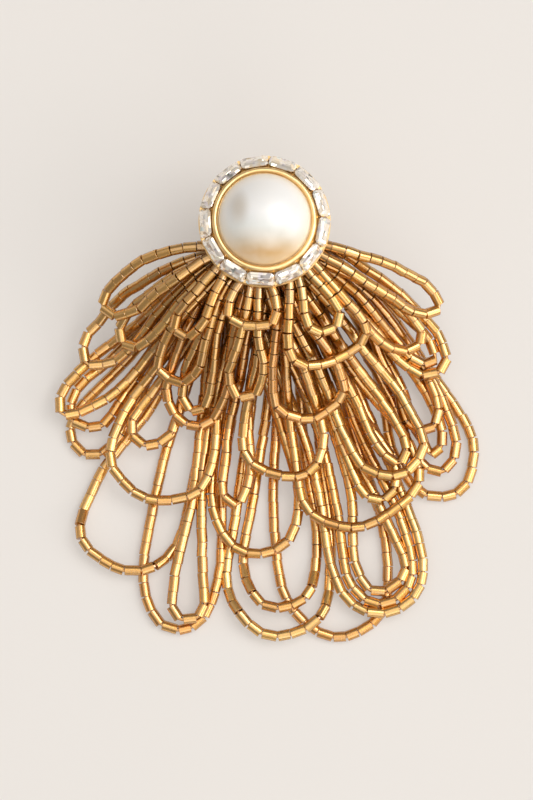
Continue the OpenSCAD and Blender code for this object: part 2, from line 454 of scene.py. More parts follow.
@dataclass(frozen=True)
class FoiledCrystal:
    """Cut glass with a mirror foil behind it: the foil's reflections are painted into the colour,
    as bright and dim fields of painted glints.

    Each stone's attribute cut holds its place along and across the stone, and its number.
    The fields lie in sectors round the stone's middle and in steps towards its edge.
    """

    sectors: int = 8
    steps: float = 3.8
    stones: int = 13
    tilt: float = 0.8
    # painted reflection: how much dimmer the fields are made towards the stone's middle
    middle: Range = (0.04, 0.34)
    middle_weight: float = 0.2
    # painted glints and reflections of the foil, from dark to bright
    painted_glints: Stops = (
        (0.0, (0.16, 0.20, 0.19)),
        (0.08, (0.50, 0.46, 0.40)),
        (0.2, (0.86, 0.78, 0.80)),
        (0.34, (0.96, 0.87, 0.74)),
        (0.62, (1.0, 0.95, 0.88)),
        (0.86, (1.0, 0.82, 0.58)),
        (1.0, (0.84, 0.93, 0.90)),
    )
    metallic: float = 0.6
    roughness: float = 0.05
    ior: float = 1.6
    coat_roughness: float = 0.02

    def material(self) -> Material:
        """Makes the material. Each field has a painted brightness, standing in for the foil's
        reflection, and a lean of its own.
        """
        g = Graph("foiled_crystal")
        cut = g.attribute("cut")
        along, across, number = (g.channel(cut, name) for name in ("Red", "Green", "Blue"))
        along, across = along * 2 - 1, across * 2 - 1
        step = (abs(along).larger(abs(across)) * self.steps).floor()
        sector = (across.turn(along) * self.sectors + step * 0.5).floor()
        stone = (number * self.stones + 0.5).floor()
        field = g.node("ShaderNodeCombineXYZ", {}, {0: sector, 1: step, 2: stone})
        cell = g.node("ShaderNodeTexWhiteNoise", {}, {"Vector": field}, "Color")
        # painted reflection: the fields are made dimmer towards the stone's middle
        dim_middle = abs(along).ramp(*self.middle) * self.middle_weight
        pick = g.channel(cell, "Red") * (1 - self.middle_weight) + dim_middle
        # painted glints: each field's colour stands in for the foil's reflection
        glint_colour = g.node("ShaderNodeValToRGB", {"stops": self.painted_glints}, {0: pick})
        normal = g.node("ShaderNodeNewGeometry", {}, {}, "Normal")
        lean = g.vector("SUBTRACT", {0: cell, 1: (0.5, 0.5, 0.5)})
        lean = g.vector("SCALE", {0: lean, "Scale": self.tilt})
        lean = g.vector("NORMALIZE", {0: g.vector("ADD", {0: lean, 1: normal})})
        return g.finish(
            Base_Color=glint_colour,
            Metallic=self.metallic,
            Roughness=self.roughness,
            IOR=self.ior,
            Coat_Weight=1.0,
            Coat_Roughness=self.coat_roughness,
            Normal=lean,
        )


@dataclass(frozen=True)
class Felt:
    """Pressed felt of the backing."""

    colour: Colour = (0.46, 0.29, 0.11)
    light: Colour = (0.66, 0.46, 0.22)
    roughness: float = 0.92
    sheen: float = 0.35
    cloud_size: float = 2.2
    fibre_size: float = 0.18
    fibre_stretch: Place = (1.0, 1.0, 2.0)
    fibre_weight: float = 0.6
    fibre_depth: float = 0.09

    def material(self) -> Material:
        """Makes the material."""
        g = Graph("backing_felt")
        fibre = g.noise(self.fibre_size, detail=5.0, stretch=self.fibre_stretch)
        cloud = g.noise(self.cloud_size)
        share = self.fibre_weight * fibre + (1 - self.fibre_weight) * cloud
        return g.finish(
            Base_Color=g.mix(share, self.colour, self.light),
            Roughness=self.roughness,
            Sheen_Weight=self.sheen,
            Normal=g.bump(fibre, self.fibre_depth),
        )


@dataclass(frozen=True)
class PaleFloor:
    """Plain pale surface that the earring lies on, lit from behind as a light table is."""

    colour: Colour = (0.415, 0.394, 0.372)
    light: Colour = (0.427, 0.406, 0.384)
    glow: float = 0.83
    roughness: float = 0.8
    cloud_size: float = 60.0
    grain_size: float = 0.8
    grain_depth: float = 0.01

    def material(self) -> Material:
        """Makes the material."""
        g = Graph("pale_floor")
        body = g.mix(g.noise(self.cloud_size, detail=2.0), self.colour, self.light)
        return g.finish(
            Base_Color=body,
            Emission_Color=body,
            Emission_Strength=self.glow,
            Roughness=self.roughness,
            Normal=g.bump(g.noise(self.grain_size), self.grain_depth),
        )


class Finish(Enum):
    """The finishes by name."""

    GOLD = PolishedGold()
    BEAD = BeadGold()
    THREAD = Thread()
    PEARL = PearlNacre()
    CRYSTAL = FoiledCrystal()
    FELT = Felt()
    FLOOR = PaleFloor()

    @cache
    def material(self) -> Material:
        """The finish's material, made on first use and then shared."""
        return self.value.material()


def clear_selection() -> None:
    """Deselects every object, so that the next operator works on its own piece alone."""
    bpy.ops.object.select_all(action="DESELECT")


def select_alone(piece: Piece) -> None:
    """Selects one object alone and makes it the active one."""
    clear_selection()
    piece.select_set(True)
    bpy.context.view_layer.objects.active = piece


def smooth(piece: Piece, degrees: float) -> None:
    """Shades a piece smooth, apart from edges sharper than an angle in degrees."""
    select_alone(piece)
    bpy.ops.object.shade_smooth_by_angle(angle=math.radians(degrees))


def new_piece(name: str, corners: Any, faces: Faces) -> Piece:
    """Makes an object of its own mesh.

    Args:
        name: The object's name.
        corners: Its corners, in metres.
        faces: The numbers of each face's corners.

    Returns:
        The object.
    """
    mesh = bpy.data.meshes.new(name)
    mesh.from_pydata(corners, [], faces)
    piece = bpy.data.objects.new(name, mesh)
    bpy.context.scene.collection.objects.link(piece)
    return piece


class Bench:
    """One object on the bench: its mesh is shaped in edit mode by operators."""

    def __init__(self, name: str) -> None:
        """Takes the primitive that was just added.

        Args:
            name: The object's new name.
        """
        self.piece = bpy.context.object
        self.piece.name = name
        self.piece.data.name = name
        bpy.ops.object.mode_set(mode="EDIT")
        bpy.ops.mesh.select_mode(type="FACE")

    def _select(self, kind: str, test: Callable[[Any], bool]) -> None:
        """Selects faces or edges alone.

        Args:
            kind: FACE or EDGE.
            test: Says of one whether it is taken.
        """
        bpy.ops.mesh.select_mode(type=kind)
        bpy.ops.mesh.select_all(action="DESELECT")
        mesh = bmesh.from_edit_mesh(self.piece.data)
        for part in mesh.faces if kind == "FACE" else mesh.edges:
            part.select_set(test(part))
        bmesh.update_edit_mesh(self.piece.data)

    def faces(self, test: Callable[[Vector], bool]) -> None:
        """Selects the faces whose normal passes a test."""
        self._select("FACE", lambda face: test(face.normal))

    def edges(self, test: Callable[[Vector, Vector], bool]) -> None:
        """Selects the edges whose two ends, in metres, pass a test."""
        self._select("EDGE", lambda edge: test(*(end.co for end in edge.verts)))

    def upright(self) -> None:
        """Selects the edges along Z."""
        self.edges(lambda start, stop: abs((stop - start).normalized().z) > STRAIGHT)

    def level(self) -> None:
        """Selects the edges across Z."""
        self.edges(lambda start, stop: abs((stop - start).normalized().z) < STRAIGHT)

    def stretch(self, **settings: Any) -> None:
        """Resizes the whole mesh, with the settings of Blender's own resize."""
        bpy.ops.mesh.select_all(action="SELECT")
        bpy.ops.transform.resize(**settings)

    def bevel(self, width: float, segments: int = 1) -> None:
        """Bevels the edges that are selected."""
        bpy.ops.mesh.bevel(offset=width, segments=segments, affect="EDGES")

    def step(self, inset: float, rise: float) -> None:
        """Insets the selected faces and moves what is left of them along Z, in millimetres."""
        bpy.ops.mesh.inset(thickness=inset * MM, depth=0)
        bpy.ops.transform.translate(value=(0, 0, rise * MM))

    def done(self) -> Piece:
        """Leaves edit mode, and returns the object with its place in its mesh."""
        bpy.ops.object.mode_set(mode="OBJECT")
        select_alone(self.piece)
        bpy.ops.object.transform_apply(location=True, rotation=True, scale=True)
        return self.piece


def dress(piece: Piece, finishes: list[Finish], nodes: list[str]) -> None:
    """Gives a piece its finishes and its place in the frame.

    Args:
        piece: The finished object.
        finishes: Its finishes, in the order of the mesh's material numbers.
        nodes: The CAD nodes that it stands for.
    """
    piece.data.materials.clear()
    for finish in finishes:
        piece.data.materials.append(finish.material())
    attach(piece, "root")
    if nodes:
        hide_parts(*nodes)
    LOG.info("%s: %d faces", piece.name, len(piece.data.polygons))


@dataclass(frozen=True)
class Pattern:
    """A small mesh that is modelled once and copied many times."""

    corners: Array
    faces: Faces

    @classmethod
    def of(cls, piece: Piece) -> "Pattern":
        """Takes the mesh of a modelled piece and removes the piece.

        Args:
            piece: The pattern's object, in its own frame.

        Returns:
            The pattern's corners and faces.
        """
        corners = np.array([v.co for v in piece.data.vertices], float)
        faces = [tuple(p.vertices) for p in piece.data.polygons]
        bpy.data.objects.remove(piece)
        return cls(corners, faces)

    def faces_from(self, base: int) -> Faces:
        """The faces with their corners numbered from base on."""
        return [tuple(base + i for i in face) for face in self.faces]

    def turns(self) -> Array:
        """Each corner's turn round Z, from 0 to 1."""
        return np.arctan2(self.corners[:, 1], self.corners[:, 0]) / (2 * math.pi) + 0.5

    def copies(self, name: str, places: list[Matrix]) -> Piece:
        """Copies the pattern to each place, in one mesh.

        Args:
            name: The new piece's name.
            places: Where the copies go.

        Returns:
            The new piece.
        """
        corners, faces = [], []
        for number, place in enumerate(places):
            base = number * len(self.corners)
            corners += [place @ Vector(corner) for corner in self.corners]
            faces += self.faces_from(base)
        return new_piece(name, corners, faces)


@dataclass(frozen=True)
class Fan:
    """Sizes that all the strings share, in millimetres.

    The strings leave the drum at start_r and lie flat from rest_r on, raised by lift. A string that
    climbs to a layer above its own does so between two shares of its length, near its tip.
    """

    string_r: float = 0.68
    start_r: float = 9.05
    root_z: float = 10.88
    rest_r: float = 32.0
    layer_gap: float = 1.45
    leg_gap: float = 1.42
    climb_start: float = 0.86
    climb_end: float = 0.95
    lift: float = 0.26

    def leg_pitch(self) -> float:
        """Angle between two neighbouring strings on the drum, in radians."""
        return 2 * math.asin(self.leg_gap / (2 * self.start_r))

    def fall(self, r: Array) -> Array:
        """Share of the way down at a distance from the axis."""
        return np.clip((r - self.start_r) / (self.rest_r - self.start_r), 0, 1)

    def bed(self, r: Array) -> Array:
        """Height of the lowest string's centre."""
        fall = self.fall(r)
        drop = (self.root_z - self.string_r) * (1 + np.cos(math.pi * fall)) / 2
        return self.string_r + self.lift * fall + drop

    def layer_rise(self, r: Array) -> Array:
        """Height from one layer to the next."""
        reach = self.rest_r - self.start_r
        slope = (self.root_z - self.string_r) * math.pi / 2 * np.sin(math.pi * self.fall(r)) / reach
        return self.layer_gap * np.sqrt(1 + slope**2)


@dataclass(frozen=True)
class BeadLoop:
    """One looped string of beads, in millimetres.

    The root is the direction of its ends, in degrees from -Y towards +X, and the mouth the room
    between them, in strings side by side. The belly is the share of its length where it is widest,
    the bow how far its middle bends aside, and the climb how many layers its tip rises.
    """

    root: float
    mouth: float
    tip_x: float
    tip_y: float
    width: float
    belly: float
    bow: float
    row: int
    climb: int = 0

    def _away(self, angle: float) -> Array:
        """Direction away from the axis at an angle in radians."""
        return np.array([math.sin(angle), -math.cos(angle)])

    def line(self, fan: Fan, steps: int = 1200) -> Array:
        """The string's centre line.

        Args:
            fan: Sizes that the strings share.
            steps: Number of steps along it.

        Returns:
            Points in millimetres, from one end over the tip to the other.
        """
        u = np.linspace(0, 2, steps + 1)
        s = np.sin(math.pi / 2 * np.minimum(u, 2 - u))
        side = np.where(u < 1, -1.0, 1.0)
        root = fan.start_r * self._away(math.radians(self.root))
        chord = np.array([self.tip_x, self.tip_y]) - root
        ahead = chord / np.linalg.norm(chord)
        turned = np.array([-ahead[1], ahead[0]])
        middle = root + s[:, None] * chord + (self.bow * np.sin(math.pi * s))[:, None] * turned
        bent = chord + (self.bow * math.pi * np.cos(math.pi * s))[:, None] * turned
        bent /= np.linalg.norm(bent, axis=1)[:, None]
        across = np.stack([-bent[:, 1], bent[:, 0]], 1)
        power = self.belly / (2 * (1 - self.belly))
        full = self.belly**power * math.sqrt(1 - self.belly)
        half = self.width / 2 * s**power * np.sqrt(np.maximum(1 - s, 0)) / full
        gape = self.mouth * fan.leg_pitch() / 2
        turns = [math.radians(self.root) + way * gape for way in (-1, 1)]
        shift = [fan.start_r * self._away(turn) - root for turn in turns]
        moved = np.where((u < 1)[:, None], shift[0], shift[1])
        spread = (1 - s) ** 3 * (1 + s * (3 + np.linalg.norm(chord) / fan.start_r))
        plan = middle + spread[:, None] * moved + (side * half)[:, None] * across
        r = np.linalg.norm(plan, axis=1)
        t = np.clip((s - fan.climb_start) / (fan.climb_end - fan.climb_start), 0, 1)
        layer = self.row + self.climb * t * t * (3 - 2 * t)
        return np.column_stack([plan, fan.bed(r) + layer * fan.layer_rise(r)])


# root, mouth, tip_x, tip_y, width, belly, bow, row and climb of each loop
LOOPS = (
    # lowest layer, the long loops at the bottom
    (-64.4, 1, -28.8, -33.4, 7.4, 0.85, 0, 0),
    (-41.5, 2.1, -24.0, -51.2, 15.4, 0.83, 1.0, 0, 1),
    (-27.5, 3, -13.6, -61.0, 11.6, 0.82, -1.8, 0),
    (23, 4, 2.1, -62.0, 15.8, 0.82, 0, 0, 1),
    (23.4, 2, 2.3, -57.8, 11.2, 0.84, -0.1, 0, 1),
    (37.2, 3, 12.8, -62.0, 16.8, 0.79, -1.0, 0),
    (64, 1, 28.5, -40.2, 12.0, 0.82, 3.0, 0),
    # second layer
    (-63.4, 1, -29.2, -29.2, 6.6, 0.85, 0, 1),
    (-46, 1, -12.2, -59.6, 5.2, 0.93, -0.3, 1),
    (-27.4, 1, -0.6, -49.3, 13.4, 0.80, 0, 1),
    (9, 5, 19.2, -58.4, 13.8, 0.84, 2.1, 1),
    (9, 3, 19.0, -56.8, 10.6, 0.87, 2.1, 1),
    (9, 1, 18.8, -55.2, 7.2, 0.91, 2.1, 1),
    (55.4, 3, 27.6, -36.6, 7.4, 0.80, 3.2, 1),
    (55.4, 1, 26.8, -33.8, 3.8, 0.86, 2.9, 1),
    # third layer
    (-62, 1, -31.6, -27.2, 6.0, 0.78, 1.1, 2),
    (-28, 3, -17.6, -40.8, 15.8, 0.82, -1.6, 2),
    (-28, 1, -19.0, -32.4, 6.2, 0.87, -0.4, 2),
    (0, 1, -4.7, -42.0, 4.0, 0.86, -1.0, 2),
    (27, 3, 18.2, -43.8, 18.6, 0.82, -1.5, 2),
    (27, 1, 19.2, -40.8, 6.4, 0.85, -0.8, 2),
    (56, 1, 25.4, -30.6, 5.6, 0.80, 3.0, 2),
    # fourth layer
    (-58.8, 1, -27.2, -20.0, 6.5, 0.76, -1.5, 3),
    (-31.7, 3, -11.4, -29.6, 8.8, 0.78, -1.0, 3),
    (-31.7, 1, -11.0, -27.6, 4.5, 0.84, -1.0, 3),
    (-4.5, 1, 3.2, -37.6, 12.5, 0.80, 1.0, 3),
    (22.6, 3, 21.6, -37.0, 10.8, 0.81, 0.8, 3),
    (22.6, 1, 21.2, -35.2, 4.5, 0.86, 0.8, 3),
    (59.5, 3, 27.2, -21.2, 7.0, 0.79, 1.1, 3),
    (59.5, 1, 26.0, -20.0, 4.0, 0.82, 1.0, 3),
    # fifth layer
    (-54, 1, -21.8, -17.4, 5.2, 0.78, -0.6, 4),
    (-35, 1, -14.2, -23.2, 6.5, 0.80, -1.0, 4),
    (-9, 1, -3.2, -25.6, 5.2, 0.84, 0, 4),
    (14, 1, 7.9, -28.4, 11.0, 0.80, 0, 4),
    (50, 1, 23.7, -17.6, 6.0, 0.76, 0.3, 4),
    # top layer, the short loops next to the button
    (-63, 1, -24.4, -12.6, 5.5, 0.72, -1.0, 5),
    (-43, 1, -12.8, -16.6, 4.0, 0.80, 0, 5),
    (-8, 3, -2.1, -15.6, 7.2, 0.74, 0, 5),
    (38, 3, 10.7, -20.4, 12.0, 0.78, 0, 5),
    (38, 1, 9.7, -16.2, 5.2, 0.77, 0.2, 5),
    (65, 1, 26.8, -12.0, 4.6, 0.76, 0.3, 5),
)


@dataclass
class BeadStrings:
    """The fan of bead strings: cut tube beads on a waxed thread, one mesh for each loop.

    Sizes are in millimetres. The plays are shares: of a bead's length, thickness and brightness.
    The seeded dice give all the small differences.
    """

    fan: Fan
    dice: random.Random
    bead_l: float = 2.2
    bead_r: float = 0.84
    sides: int = 12
    chamfer: float = 0.035
    crease: float = 35.0
    thread_r: float = 0.3
    thread_sides: int = 6
    least_gap: float = 0.006
    mean_gap: float = 0.018
    bend_room: float = 1.3
    fit_range: Range = (0.5, 1.5)
    fit_rounds: int = 18
    length_play: float = 0.16
    thick_play: Range = (0.955, 1.0)
    shift: float = 0.045
    tilt: float = 0.05
    sway: float = 0.16
    sway_waves: tuple[int, ...] = (3, 4, 6, 7)
    sway_power: float = 0.7
    tints: tuple[Colour, ...] = (
        (0.82, 0.40, 0.05),
        (0.89, 0.51, 0.11),
        (0.78, 0.325, 0.025),
        (0.84, 0.44, 0.075),
        (0.75, 0.36, 0.04),
    )
    glow_play: Range = (0.84, 1.08)
    blend_play: Range = (0.0, 0.6)
    # painted shade: how much darker beads are made deep in the fan and at the root, where the
    # button's shadow falls
    painted_shade_share: float = 0.45
    painted_shade_deep_r: Range = (15.0, 34.0)
    painted_shadow_root_r: Range = (9.6, 14.0)
    top_row: int = 5

    def pattern(self) -> Pattern:
        """Models one bead along Z, 2 mm long with its middle at the origin."""
        clear_selection()
        bpy.ops.mesh.primitive_cylinder_add(vertices=self.sides, radius=self.bead_r, depth=2.0)
        bench = Bench("bead_pattern")
        bench.level()
        bench.bevel(self.chamfer)
        return Pattern.of(bench.done())

    def _lay(self, line: Array, lengths: Array) -> tuple[Ends, float]:
        """Lays beads of given lengths on the line, one after the other.

        Args:
            line: The string's centre line.
            lengths: The lengths of the beads.

        Returns:
            The two ends of each bead, and by how much the last one passes the line's end.
        """
        walked = np.concatenate([[0], np.cumsum(np.linalg.norm(np.diff(line, axis=0), axis=1))])

        def at(w: float) -> Array:
            """The point of the line at a distance from its start."""
            return np.array([np.interp(w, walked, line[:, k]) for k in range(3)])

        ends = []
        w = self.least_gap
        before = None
        for length in lengths:
            if before is not None:
                ahead = at(w + length) - at(w)
                sizes = np.linalg.norm(before) * np.linalg.norm(ahead) + TINY
                turn = math.acos(max(-1.0, min(1.0, float(np.dot(before, ahead) / sizes))))
                w += self.bend_room * self.bead_r * math.tan(turn / 2)
            start, stop = at(w), at(w + length)
            before = stop - start
            ends.append((start, stop))
            w += length + self.least_gap
        return ends, w - float(walked[-1])

    def beads(self, line: Array) -> Ends:
        """Fits a whole number of beads of nearly the same length on the line.

        Args:
            line: The string's centre line.

        Returns:
            The two ends of each bead.
        """
        total = float(np.linalg.norm(np.diff(line, axis=0), axis=1).sum())
        count = round(total / (self.bead_l + self.mean_gap))
        plays = (1 - self.length_play, 1 + self.length_play)
        lengths = self.bead_l * np.array([self.dice.uniform(*plays) for _ in range(count)])
        low, high = self.fit_range
        for _ in range(self.fit_rounds):
            share = (low + high) / 2
            if self._lay(line, lengths * share)[1] > 0:
                high = share
            else:
                low = share
        return self._lay(line, lengths * low)[0]

    def _swayed(self, line: Array) -> Array:
        """Lets a string wander a little to its sides, as a hand-laid one does, but not at its ends.

        Args:
            line: The string's centre line.

        Returns:
            The line that wanders.
        """
        dice = self.dice
        t = np.linspace(0, 1, len(line))
        wave = sum(
            dice.uniform(-1, 1) * np.sin(2 * math.pi * (count * t + dice.uniform(0, 1)))
            for count in self.sway_waves
        )
        ahead = np.gradient(line[:, :2], axis=0)
        ahead /= np.linalg.norm(ahead, axis=1)[:, None]
        free = self.fan.fall(np.linalg.norm(line[:, :2], axis=1)) ** self.sway_power
        swayed = line.copy()
        swayed[:, 0] -= self.sway * free * wave * ahead[:, 1]
        swayed[:, 1] += self.sway * free * wave * ahead[:, 0]
        return swayed

    def _frame(self, way: Array, turn: float) -> Array:
        """Axes of a bead.

        Args:
            way: Its direction.
            turn: By how much it is turned round itself, in radians.

        Returns:
            Two axes across it and its own direction, in rows.
        """
        along = way / np.linalg.norm(way)
        across = np.cross(along, [0.0, 0.0, 1.0])
        across /= np.linalg.norm(across)
        up = np.cross(across, along)
        c, s = math.cos(turn), math.sin(turn)
        return np.stack([c * across + s * up, c * up - s * across, along])

    def _tint(self, home: Colour, row: int, place: Array) -> Colour:
        """A bead's own tint: near that of its string, with painted shade darkening it deep in the
        fan and a painted shadow of the button darkening it at its root.

        Args:
            home: The string's tint.
            row: The string's layer.
            place: Where the bead begins.

        Returns:
            The tint.
        """
        r = math.hypot(place[0], place[1])
        # painted shade under the upper layers, and a painted shadow of the button at the root
        covered_shade = 1 - float(np.interp(r, self.painted_shade_deep_r, (0, 1)))
        root_shadow = 1 - float(np.interp(r, self.painted_shadow_root_r, (0, 1)))
        depth = max(covered_shade * (1 - row / self.top_row), root_shadow)
        own = self.dice.choice(self.tints)
        glow = self.dice.uniform(*self.glow_play) * (1 - self.painted_shade_share * depth)
        blend = self.dice.uniform(*self.blend_play)
        return tuple(min(1.0, glow * (a + (b - a) * blend)) for a, b in zip(home, own))

    def string(self, name: str, loop: BeadLoop, pattern: Pattern) -> Piece:
        """Strings one loop.

        Args:
            name: The piece's name.
            loop: The loop.
            pattern: The bead's pattern.

        Returns:
            The loop's piece.
        """
        line = self._swayed(loop.line(self.fan))
        ends = self.beads(line)
        home = self.dice.choice(self.tints)
        turns = pattern.turns()
        corners, faces, places, tints = [], [], [], []
        for start, stop in ends:
            bead, along = self._bead(start, stop, pattern)
            faces += pattern.faces_from(len(bead) * len(corners))
            corners.append(bead)
            places.append(np.column_stack([turns, along]))
            tints += [(*self._tint(home, loop.row, start), 1.0)] * len(bead)
        points = [line[0], *(point for pair in ends for point in pair), line[-1]]
        thread, thread_faces = self._thread(points, len(tints))
        numbers = [0] * len(faces) + [1] * len(thread_faces)
        corners.append(thread)
        faces += thread_faces
        places.append(np.zeros((len(thread), 2)))
        tints += [(*self.tints[0], 1.0)] * len(thread)
        piece = new_piece(name, (np.concatenate(corners) * MM).tolist(), faces)
        piece.data.polygons.foreach_set("material_index", numbers)
        self._paint(piece.data, np.concatenate(places), np.array(tints))
        return piece

    def _bead(self, start: Array, stop: Array, pattern: Pattern) -> tuple[Array, Array]:
        """Puts one bead between two points, turned, leaned and shifted a little.

        Args:
            start: Where it begins.
            stop: Where it ends.
            pattern: The bead's pattern.

        Returns:
            Its corners, and each corner's place along it from 0 to 1.
        """
        dice = self.dice
        length = float(np.linalg.norm(stop - start))
        axes = self._frame(stop - start, dice.uniform(0, math.pi))
        lean = self.tilt * length * self._aside(axes)
        axes = self._frame(stop - start + lean, dice.uniform(0, math.pi))
        middle = (start + stop) / 2 + self.shift * self._aside(axes)
        thick = dice.uniform(*self.thick_play)
        local = pattern.corners * [thick, thick, 1.0]
        local[:, 2] = np.sign(local[:, 2]) * (length / 2 - (1 - np.abs(local[:, 2])))
        return middle + local @ axes, local[:, 2] / length + 0.5

    def _aside(self, axes: Array) -> Array:
        """A random step across a bead, of up to 1 along each of its two axes."""
        return self.dice.uniform(-1, 1) * axes[0] + self.dice.uniform(-1, 1) * axes[1]

    def _thread(self, points: list[Array], base: int) -> tuple[Array, Faces]:
        """Models the thread as a thin tube through the beads.

        Args:
            points: Points that it passes.
            base: Number of its first corner in the piece.

        Returns:
            Its corners and its faces.
        """
        sides = self.thread_sides
        angles = [2 * math.pi * k / sides for k in range(sides)]
        rings = []
        faces = [tuple(base + k for k in range(sides))]
        for i, point in enumerate(points):
            before, after = points[max(0, i - 1)], points[min(len(points) - 1, i + 1)]
            x, y, _ = self.thread_r * self._frame(after - before, 0.0)
            rings.append([point + math.cos(angle) * x + math.sin(angle) * y for angle in angles])
            if i:
                a, b = base + sides * (i - 1), base + sides * i
                steps = [(k, (k + 1) % sides) for k in range(sides)]
                faces += [(a + k, b + k, b + after_k, a + after_k) for k, after_k in steps]
        last = base + sides * (len(points) - 1)
        faces.append(tuple(last + k for k in reversed(range(sides))))
        return np.array(rings).reshape(-1, 3), faces

    def _paint(self, mesh: bpy.types.Mesh, places: Array, tints: Array) -> None:
        """Writes a string's UV map and tints.

        Args:
            mesh: The string's mesh.
            places: Each corner's place round and along its bead, from 0 to 1.
            tints: Each corner's tint.
        """
        loops = np.zeros(len(mesh.loops), np.int32)
        mesh.loops.foreach_get("vertex_index", loops)
        uv = mesh.uv_layers.new(name="bead")
        uv.data.foreach_set("uv", places[loops].astype(np.float32).ravel())
        tint = mesh.attributes.new("tint", "FLOAT_COLOR", "POINT")
        tint.data.foreach_set("color", tints.astype(np.float32).ravel())

    def build(self) -> None:
        """Strings and dresses every loop."""
        pattern = self.pattern()
        for number, sizes in enumerate(LOOPS, 1):
            piece = self.string(f"beads_{number:02d}", BeadLoop(*sizes), pattern)
            smooth(piece, self.crease)
            dress(piece, [Finish.BEAD, Finish.THREAD], [f"loop_{number:02d}"])


@dataclass
class Button:
    """The half pearl and the ring of cut stones on the gold setting, in millimetres.

    A stone's back lies on the slope. Its crown and its back are steps, each an inset and a rise.
    The frame's nodes are given by name.
    """

    nodes: dict[str, Piece]
    pearl_d: float = 14.0
    pearl_h: float = 5.0
    pearl_z: float = 22.16
    girdle_round: float = 0.12
    pearl_crease: float = 50.0
    stone_count: int = 13
    stone_turn: float = 16.8
    stone_size: Range = (4.5, 2.6)
    stone_corner: float = 0.38
    stone_taper: float = 0.88
    stone_rise: float = 0.25
    belt_h: float = 0.12
    belt_z: float = 0.35
    crown: tuple[Range, ...] = ((0.2, 0.22), (0.3, 0.2), (0.22, 0.1))
    back: Range = (0.32, -0.29)
    slope_foot: Range = (9.65, 19.91)
    slope_head: Range = (7.9, 22.11)
    clearance: float = 0.05

    def pearl(self) -> None:
        """Flattens a sphere, cuts the half pearl from it and rounds its girdle."""
        girdle_r = self.pearl_d / 2
        foot = (0, 0, self.pearl_z * MM)
        clear_selection()
        bpy.ops.mesh.primitive_uv_sphere_add(
            segments=96, ring_count=72, radius=girdle_r * MM, location=foot
        )
        bench = Bench("half_pearl")
        bpy.ops.mesh.select_all(action="SELECT")
        bpy.ops.mesh.bisect(plane_co=foot, plane_no=(0, 0, 1), use_fill=True, clear_inner=True)
        bench.edges(lambda start, stop: max(start.z, stop.z) < HAIR)
        bench.bevel(self.girdle_round * MM, segments=4)
        bench.stretch(value=(1, 1, self.pearl_h / girdle_r), center_override=foot)
        piece = bench.done()
        smooth(piece, self.pearl_crease)
        dress(piece, [Finish.PEARL], ["pearl"])

    def cut_stone(self) -> Pattern:
        """Cuts one stone with its back at the origin: an octagon with facets up to its table."""
        clear_selection()
        bpy.ops.mesh.primitive_cube_add(size=1.0)
        bench = Bench("stone_pattern")
        bench.stretch(value=[size * MM for size in (*self.stone_size, self.belt_h)])
        bpy.ops.transform.translate(value=(0, 0, self.belt_z * MM))
        bench.faces(lambda normal: normal.y > STRAIGHT)
        bpy.ops.transform.resize(value=(self.stone_taper, 1, 1))
        bench.upright()
        bench.bevel(self.stone_corner * MM)
        for inset, rise in self.crown:
            bench.faces(lambda normal: normal.z > STRAIGHT)
            bench.step(inset, rise)
        bench.faces(lambda normal: normal.z < -STRAIGHT)
        bench.step(*self.back)
        return Pattern.of(bench.done())

    def stones(self) -> None:
        """Sets the cut stones on the slope round the pearl."""
        foot_r, foot_z = self.slope_foot
        head_r, head_z = self.slope_head
        lean = math.atan2(foot_r - head_r, head_z - foot_z)
        seat = (
            Matrix.Translation(Vector(((foot_r + head_r) / 2, 0, (foot_z + head_z) / 2)) * MM)
            @ Matrix.Rotation(math.pi / 2 - lean, 4, "Y")
            @ Matrix.Rotation(math.pi / 2, 4, "Z")
            @ Matrix.Translation(Vector((0, self.stone_rise, self.clearance)) * MM)
        )
        pattern = self.cut_stone()
        spread = pattern.corners[:, :2] / (np.array(self.stone_size) * MM) + 0.5
        for i in range(self.stone_count):
            turn = math.radians(self.stone_turn + 360 / self.stone_count * i)
            piece = pattern.copies(f"cut_stone_{i + 1:02d}", [Matrix.Rotation(turn, 4, "Z") @ seat])
            cut = piece.data.attributes.new("cut", "FLOAT_COLOR", "POINT")
            numbers = np.full((len(spread), 2), [i / self.stone_count, 1.0])
            cut.data.foreach_set("color", np.hstack([spread, numbers]).astype(np.float32).ravel())
            dress(piece, [Finish.CRYSTAL], [f"stone_{i + 1:02d}"])

    def metal(self) -> None:
        """Dresses the setting and the ear post, whose shapes stay as they are."""
        for name in ("setting", "ear_post"):
            mesh = self.nodes[name].data
            mesh.materials.clear()
            mesh.materials.append(Finish.GOLD.material())
            LOG.info("%s: kept, gold", name)

    def build(self) -> None:
        """Builds the button."""
        self.pearl()
        self.stones()
        self.metal()


